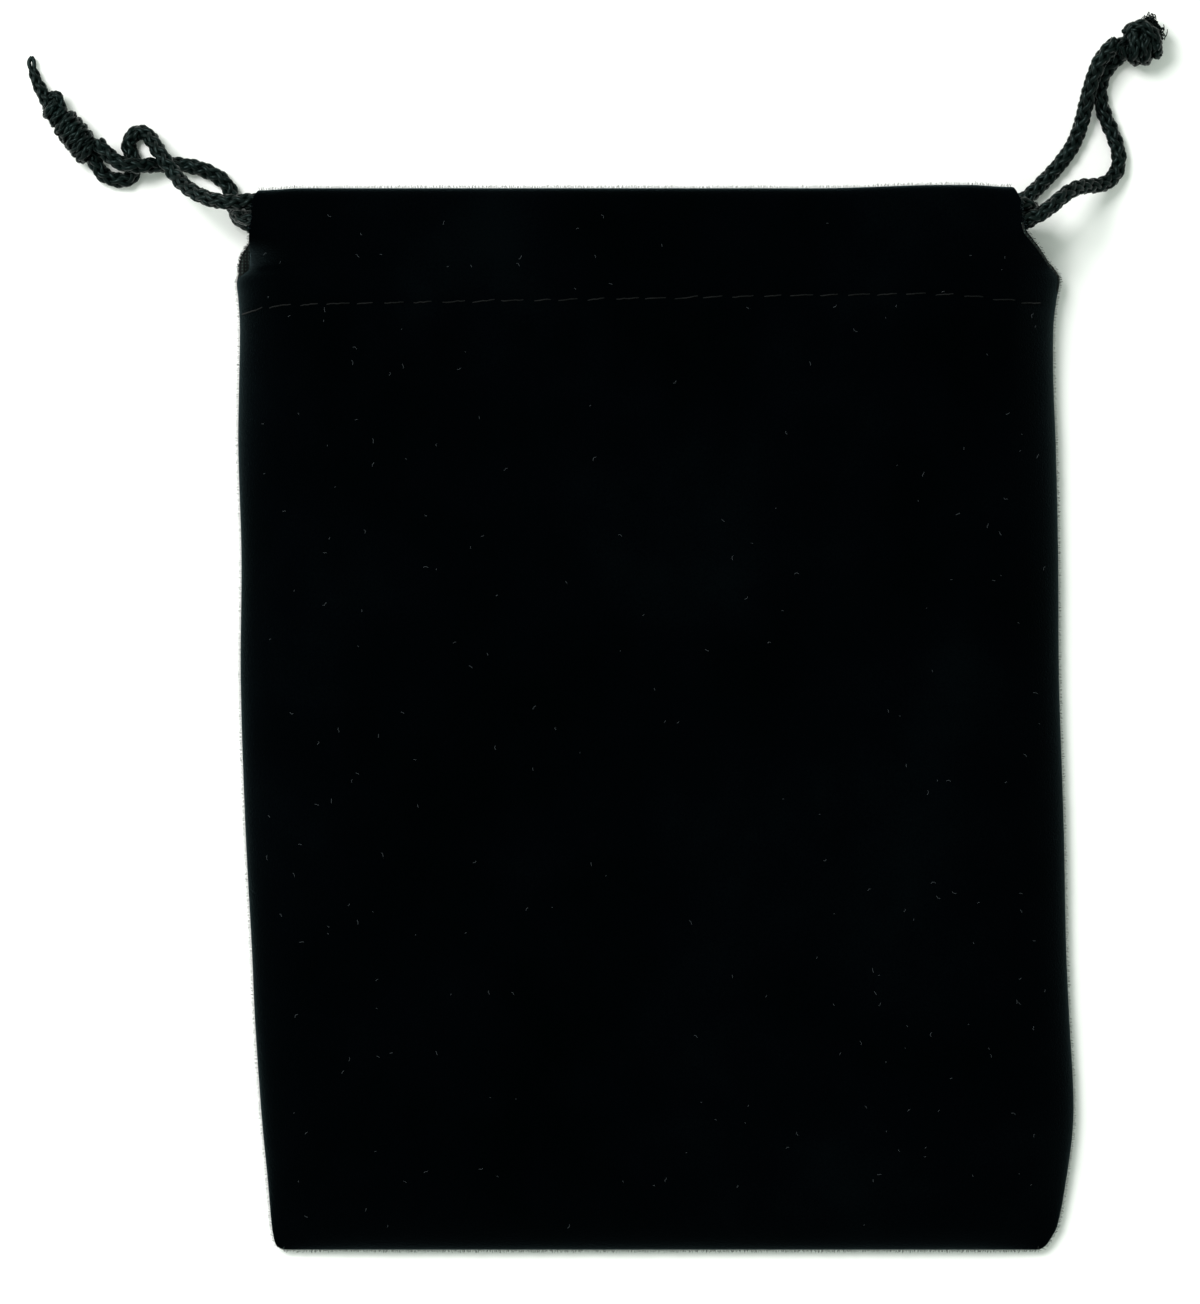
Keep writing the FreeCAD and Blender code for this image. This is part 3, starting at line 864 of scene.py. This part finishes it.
def cloth_piece(face, zone):
    """One zone of the front or back panel, with its hem."""
    rows = zone_rows(zone)
    shares = column_shares(zone)
    bm = bmesh.new()
    bmesh.ops.create_grid(bm, x_segments=len(shares) - 1, y_segments=len(rows) - 1, size=0.5)
    for vertex in bm.verts:
        share = shares[round((vertex.co.x + 0.5) * (len(shares) - 1))]
        y, turned, _ = rows[round((vertex.co.y + 0.5) * (len(rows) - 1))]
        start, end = row_span(face, zone, y, turned)
        x = start + (end - start) * share
        vertex.co = (x, y - hang(x, y), strip_height(face, x, y, turned))
    bmesh.ops.remove_doubles(bm, verts=bm.verts, dist=0.002 * MM)
    bm.normal_update()
    if face == "back":
        bmesh.ops.reverse_faces(bm, faces=bm.faces)
    name = f"{face}_velvet_{zone}"
    mesh = bpy.data.meshes.new(name)
    bm.to_mesh(mesh)
    bm.free()
    mesh.materials.append(VELVET)
    mesh.materials.append(BACKING)
    piece = bpy.data.objects.new(name, mesh)
    bpy.context.collection.objects.link(piece)
    thick = piece.modifiers.new("cloth", "SOLIDIFY")
    thick.thickness = CLOTH
    thick.offset = -1.0
    thick.material_offset = 1
    thick.material_offset_rim = 1
    return settle_modifiers(piece)


def settle_modifiers(piece):
    """Turn a piece with modifiers into plain mesh, smooth but for its sharp rims."""
    bpy.context.view_layer.update()
    view = bpy.context.evaluated_depsgraph_get()
    mesh = bpy.data.meshes.new_from_object(piece.evaluated_get(view))
    piece.modifiers.clear()
    piece.data = mesh
    mesh.polygons.foreach_set("use_smooth", [True] * len(mesh.polygons))
    mesh.set_sharp_from_angle(angle=math.radians(52))
    return piece


def flat_area(face, zone, rows):
    """Area of the cloth that a zone was cut to: its rows laid out flat, end to end."""
    area = 0.0
    for (y0, t0, _), (y1, t1, _) in zip(rows, rows[1:]):
        low0, high0 = row_span(face, zone, y0, t0)
        low1, high1 = row_span(face, zone, y1, t1)
        along = abs(y1 - y0) if t0 == t1 else FOLD_RADIUS * abs(t1 - t0)
        area += along * ((high0 - low0) + (high1 - low1)) / 2
    return area


cloth = {}
for face in ("front", "back"):
    for zone in ZONES:
        cloth[face, zone] = cloth_piece(face, zone)
print("cloth faces", sum(len(piece.data.polygons) for piece in cloth.values()))

# %% [markdown]
# ## The cloth's cut
# Each panel was cut as one piece; here the flat area and the strip length of each of its
# four zones are worked out from that cut.

STRIP_LENGTH = (MOUTH_Y - FOLD_RADIUS - BOTTOM_Y) + math.pi * FOLD_RADIUS + (MOUTH_Y - FOLD_RADIUS - HEM_LOW)
for (face, zone), piece in cloth.items():
    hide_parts(f"{face}_panel", f"{face}_casing")
    gather(piece, zone)
    area = flat_area(face, zone, zone_rows(zone))
    length = STRIP_LENGTH if "flank" in zone else STRIP_LENGTH - (GATHER_Y - BOTTOM_Y)
print("panel cut", round(PANEL_HIGH.x - PANEL_LOW.x, 4), "by", round(STRIP_LENGTH, 4))

# %% [markdown]
# ## Loose pile
# What shows that this is velvet at all, against a white floor, is the fuzz along its outline: the
# pile stands out past every fold by a third of a millimetre. Those tips are modelled only along
# the bag's edges, seams and folds, a few thin tapering fibres to the millimetre. Some pale
# lint has settled on the front as well, as it does on every black velvet.

# %% Loose pile
TIP = 0.34 * MM
TIP_RADIUS = 0.02 * MM
TIP_SPACING = 0.12 * MM


def jitter(luck, size):
    return Vector([luck.uniform(-size, size) for _ in range(3)])


def pile_tip(luck, root, out):
    """One fibre of pile that stands out from a root on the cloth."""
    length = TIP * luck.uniform(0.5, 1.25)
    aim = (out + jitter(luck, 0.7)).normalized()
    bend = root + aim * length * 0.5 + jitter(luck, 0.12) * length
    fibre = [root - out * 0.15 * MM, bend, root + aim * length]
    for place in fibre:
        place.z = max(place.z, 0.04 * MM)
    return fibre


def edge_roots(face, zone):
    """(root, outward direction) along every edge and fold of a zone."""
    roots = []
    side = LEFT if zone.startswith("left") else RIGHT
    away = Vector((-1, 0, 0)) if side == LEFT else Vector((1, 0, 0))
    height = front_height if face == "front" else back_height
    if zone.endswith("flank"):
        for y in spaced(BOTTOM_Y if face == "front" else NOTCH_LOW, MOUTH_Y - FOLD_RADIUS, TIP_SPACING):
            x = rim(face, side, y)
            roots.append((Vector((x, y - hang(x, y), height(x, y))), away))
        start, end = sorted((rim(face, side, BOTTOM_Y), 0.0))
        for x in spaced(start, end, TIP_SPACING if face == "front" else 0.5 * MM):
            roots.append((Vector((x, BOTTOM_Y, SEAM_Z)), Vector((0, -1, 0))))
    start, end = row_span(face, zone, MOUTH_Y, math.pi / 2)
    hem = HEM_Z if face == "front" else BACK_TOP
    for x in spaced(start, end, TIP_SPACING):
        middle = (height(x, MOUTH_Y - FOLD_RADIUS) + hem) / 2
        roots.append((Vector((x, MOUTH_Y - mouth_dip(x), middle)), Vector((0, 1, 0))))
    return roots


luck = random.Random(21)
for face in ("front", "back"):
    for zone in ZONES:
        tips = []
        for root, out in edge_roots(face, zone):
            start = root + Vector((0, 0, luck.uniform(-0.35, 0.35))) * MM
            start.z = max(start.z, 0.1 * MM)
            tips.append(pile_tip(luck, start, out))
        piece = as_object(f"{face}_pile_{zone}", [bevelled("pile", tips, TIP_RADIUS, 0)], VELVET)
        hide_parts(f"{face}_panel")
        gather(piece, zone)
print("pile along the edges")


# %% Edges of the notches
# In the left notch the seam allowance was never turned in, so the weave's cut yarns stick out.
yarns = []
for y in spaced(55.2 * MM, 59.8 * MM, 0.05 * MM):
    root = Vector((rim("back", LEFT, y) + 0.15 * MM, y, luck.uniform(0.2, 1.1) * MM))
    aim = Vector((-1.0, luck.uniform(-0.7, 0.7), luck.uniform(-0.1, 0.3))).normalized()
    length = luck.uniform(0.2, 0.5) * MM
    yarns.append([root, root + aim * length * 0.5 + jitter(luck, 0.08) * MM, root + aim * length])
raw_edge = as_object("left_notch_raw_edge", [bevelled("yarns", yarns, 0.035 * MM, 0)], BACKING)
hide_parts("back_casing")
gather(raw_edge, "left_flank")


def notch_roll():
    """The narrow rolled hem along the slanting right end of the front casing."""
    line = []
    for y in spaced(53.4 * MM, 61.8 * MM, 0.3 * MM):
        x = rim("front", RIGHT, y) - 0.3 * MM
        line.append(Vector((x, y, front_height(x, y) + 0.02 * MM)))
    return line


roll = as_object("right_notch_hem", [bevelled("roll", [notch_roll()], 0.16 * MM, 1)], BACKING)
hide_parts("front_casing")
gather(roll, "right_flank")
print("cut yarns", len(yarns))


# %% Lint
def lint_material():
    material, tree = new_material("pale_lint")
    shader = add(tree, "ShaderNodeBsdfPrincipled", Base_Color=hex_colour("#33393d"), Roughness=0.7)
    add(tree, "ShaderNodeOutputMaterial", Surface=shader.outputs["BSDF"])
    return material


LINT = lint_material()
LINT_RADIUS = 0.02 * MM
LINT_TRIES = 430
strands = {zone: [] for zone in ZONES}
for _ in range(LINT_TRIES):
    y = luck.uniform(-64.0, 64.0) * MM
    x = luck.uniform(-49.0, 49.0) * MM
    if luck.random() > 0.25 + 0.5 * abs(x) / (49 * MM) + 0.25 * abs(y) / (64 * MM):
        continue
    if not rim("front", LEFT, y) + 1.5 * MM < x < rim("front", RIGHT, y) - 1.5 * MM:
        continue
    turn = luck.uniform(0, math.tau)
    length = luck.uniform(0.12, 0.62) * MM
    strand = []
    for k in range(4):
        turn += luck.uniform(-0.5, 0.5)
        place = Vector((x, y, 0)) + Vector((math.cos(turn), math.sin(turn), 0)) * length * k / 3
        place.z = front_height(place.x, place.y) + 0.03 * MM
        strand.append(place)
    strands[zone_of(x, y)].append(strand)
for zone, lines in strands.items():
    piece = as_object(f"lint_{zone}", [bevelled("lint", lines, LINT_RADIUS, 0)], LINT)
    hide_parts("front_panel")
    gather(piece, zone)
print("lint", {zone: len(lines) for zone, lines in strands.items()})

# %% [markdown]
# ## Thread
# The casing is closed by a lockstitch in fine polyester thread. Each stitch shows as a short
# dash that dips into the pile at both ends, and lies a little aslant because the next stitch
# pulls it. The thread that holds the side and bottom seams is buried between the panels.


# %% Thread
def sewing_thread():
    material, tree = new_material("sewing_thread")
    place = add(tree, "ShaderNodeTexCoord").outputs["Object"]
    twist = add(tree, "ShaderNodeTexNoise", Vector=place, Scale=per_metre(0.2 * MM),
                Detail=2.0).outputs["Fac"]
    colour = ramp(tree, twist, [(0.3, "#060707"), (0.7, "#101212")])
    shader = add(tree, "ShaderNodeBsdfPrincipled", Base_Color=colour.outputs["Color"], Roughness=0.55)
    shader.inputs["Specular IOR Level"].default_value = 0.06
    add(tree, "ShaderNodeOutputMaterial", Surface=shader.outputs["BSDF"])
    return material


THREAD = sewing_thread()
STITCH_PITCH = 3.6 * MM
STITCH_LENGTH = 2.7 * MM
THREAD_RADIUS = 0.10 * MM
STITCH_MID = 52.0 * MM


def casing_stitches(face):
    """Lines of thread along the bottom of a casing, by zone."""
    lines = {zone: [] for zone in ZONES}
    first = edge(STITCH_MID, LEFT) + 0.6 * MM
    count = int((edge(STITCH_MID, RIGHT) - first) / STITCH_PITCH)
    luck = random.Random(5)
    for i in range(count):
        x0 = first + i * STITCH_PITCH
        length = STITCH_LENGTH * luck.uniform(0.86, 1.08)
        slant = luck.uniform(0.02, 0.10)
        line = []
        for k in range(7):
            share = k / 6
            x = x0 + length * share
            y = stitch_line(x) + (slant * (share - 0.5) + luck.uniform(-0.02, 0.02)) * length
            lift = (0.17 * math.sin(math.pi * share) - 0.06) * MM
            if face == "front":
                z = front_height(x, y) + lift
            else:
                z = back_height(x, y) + THREAD_RADIUS + 0.02 * MM
            line.append(Vector((x, y, z)))
        lines[zone_of(x0 + length / 2, stitch_line(x0))].append(line)
    return lines


for face in ("front", "back"):
    for zone, lines in casing_stitches(face).items():
        piece = as_object(f"{face}_stitches_{zone}", [bevelled("stitch", lines, THREAD_RADIUS, 1)], THREAD)
        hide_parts(f"{face}_casing_stitching")
        gather(piece, zone)
print("stitch pitch", STITCH_PITCH)

# %% Seam threads
SEAM_IN = 1.0 * MM        # how far inside the edge the hidden seams run


def seam_dashes(points):
    """Dashes of thread along a line of points."""
    line = evenly(points, STITCH_PITCH)
    return [evenly([a, a.lerp(b, STITCH_LENGTH / STITCH_PITCH)], STITCH_LENGTH / 3)
            for a, b in zip(line, line[1:])]


def side_seam(side):
    offset = SEAM_IN if side == "left" else -SEAM_IN
    end = LEFT if side == "left" else RIGHT
    heights = spaced(BOTTOM_Y + 2.5 * MM, NOTCH_LOW, 2.0 * MM)
    return [Vector((edge(y, end) + offset, y, SEAM_Z)) for y in heights]


for side in ("left", "right"):
    piece = as_object(f"{side}_seam_thread",
                      [bevelled("seam", seam_dashes(side_seam(side)), THREAD_RADIUS, 0)], THREAD)
    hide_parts(f"{side}_side_seam")
    gather(piece, f"{side}_flank")
bottom_points = [Vector((x, BOTTOM_Y + SEAM_IN, SEAM_Z)) for x in (-45.5 * MM, 0.0, 47.0 * MM)]
bottom_thread = as_object("bottom_seam_thread",
                          [bevelled("seam", seam_dashes(bottom_points), THREAD_RADIUS, 0)], THREAD)
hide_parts("bottom_seam")
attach(bottom_thread, "bag")
print("seam threads in place")

# %% [markdown]
# ## The cords
# Each cord has the length of the imported tube that it stands for. It leaves the front casing,
# and both of its ends are in its knot.

print("cords done")

# %% [markdown]
# ## Floor and light
# A plain white floor, lit so that it is just white. The main light is a broad panel up on the
# left, so that shadows fall a few millimetres to the right, soft at their edges, and the world
# fills them with a little pale green.

# %% Floor
floor_bm = bmesh.new()
bmesh.ops.create_grid(floor_bm, x_segments=1, y_segments=1, size=1.5)
bmesh.ops.translate(floor_bm, verts=floor_bm.verts, vec=(0, 0, -0.02 * MM))
floor_mesh = bpy.data.meshes.new("floor")
floor_bm.to_mesh(floor_mesh)
floor_bm.free()
paper, paper_tree = new_material("white_paper")
paper_shader = add(paper_tree, "ShaderNodeBsdfPrincipled", Base_Color=hex_colour("#f4f6f3"), Roughness=0.9)
paper_shader.inputs["Specular IOR Level"].default_value = 0.1
add(paper_tree, "ShaderNodeOutputMaterial", Surface=paper_shader.outputs["BSDF"])
floor_mesh.materials.append(paper)
floor = bpy.data.objects.new("floor", floor_mesh)
bpy.context.collection.objects.link(floor)


# %% Lights
def panel_light(name, place, size, power, colour):
    """A square panel that looks at the middle of the bag."""
    data = bpy.data.lights.new(name, "AREA")
    data.size = size
    data.energy = power
    data.color = colour
    light = bpy.data.objects.new(name, data)
    light.location = place
    light.rotation_euler = (Vector(place) * -1).to_track_quat("-Z", "Y").to_euler()
    bpy.context.collection.objects.link(light)
    return light


panel_light("main_panel", (-0.45, 0.42, 0.93), 0.42, 10.5, (1.0, 0.97, 0.99))
panel_light("low_left", (-0.9, 0.1, 0.30), 0.5, 2.8, (1.0, 1.0, 1.0))
world = bpy.data.worlds.new("studio")
world.use_nodes = True
world.node_tree.nodes["Background"].inputs["Color"].default_value = (0.90, 1.0, 0.92, 1.0)
world.node_tree.nodes["Background"].inputs["Strength"].default_value = 0.72
bpy.context.scene.world = world
print("lights set")
